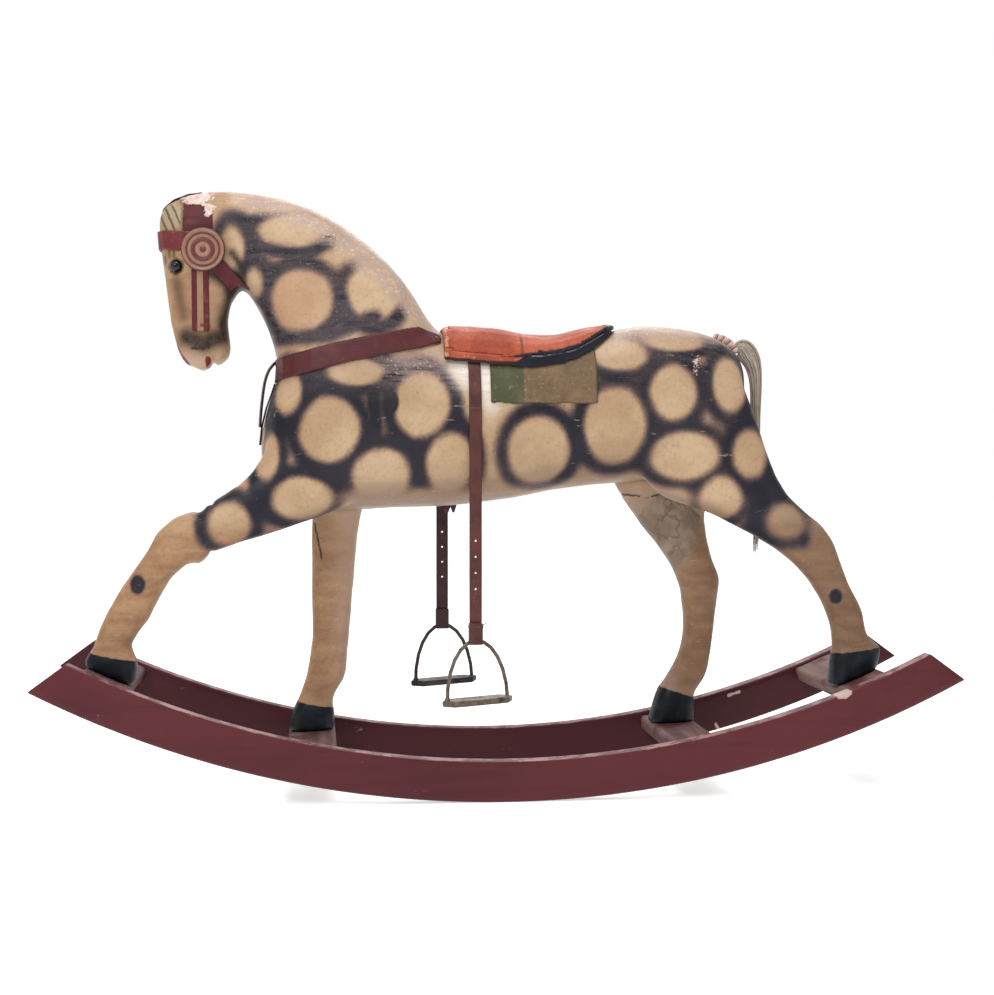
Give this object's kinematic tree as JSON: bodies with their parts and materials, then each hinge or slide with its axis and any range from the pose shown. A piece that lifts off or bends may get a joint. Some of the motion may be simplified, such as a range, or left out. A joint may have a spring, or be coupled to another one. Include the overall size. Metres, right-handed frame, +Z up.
{
  "type": "rocking horse",
  "caption": "Galloping wooden rocking horse with dappled paint, worn saddle, bridle straps and hanging stirrups, on a bow-rocker stand with cross slats.",
  "frame": {"origin": "on the floor, midway along and midway between the two rockers, under their lowest points", "axes": "X along the horse with its head towards -X, the horse's near (left) side towards -Y, +Z up"},
  "size_m": [1.2004, 0.3, 0.792],
  "materials": {
    "horse_paint": "worn paint, satin",
    "rocker_paint": "worn paint, satin",
    "slat_paint": "worn paint, matte",
    "seat_leather": "cracked, matte",
    "pad_leather": "satin",
    "felt": "faded, matte",
    "strap_leather": "satin",
    "worn_leather": "matte",
    "rosette_leather": "satin",
    "eye_glass": "glossy",
    "stirrup_metal": "tarnished",
    "tail_tape": "matte",
    "tail_hair": "matte"
  },
  "bodies": {
    "root": {"horse": "horse_paint", "rocker_left": "rocker_paint", "rocker_right": "rocker_paint", "slat_left_fore": "slat_paint", "slat_right_fore": "slat_paint", "slat_right_hind": "slat_paint", "slat_left_hind": "slat_paint", "saddle_seat": "seat_leather", "saddle_pad": "pad_leather", "saddle_cloth": "felt", "breast_strap": "strap_leather", "chest_thong": "worn_leather", "chest_tab": "worn_leather", "brow_band": "strap_leather", "throat_lash_left": "strap_leather", "throat_lash_right": "strap_leather", "cheek_strap_left": "strap_leather", "cheek_strap_right": "strap_leather", "rosette_left": "rosette_leather", "rosette_right": "rosette_leather", "eye_left": "eye_glass", "eye_right": "eye_glass", "stirrup_strap_left": "strap_leather", "stirrup_strap_right": "strap_leather", "stirrup_loop_left": "strap_leather", "stirrup_loop_right": "strap_leather", "stirrup_iron_left": "stirrup_metal", "stirrup_iron_right": "stirrup_metal", "tail_binding": "tail_tape", "tail_hair": "tail_hair"}
  },
  "joints": []
}
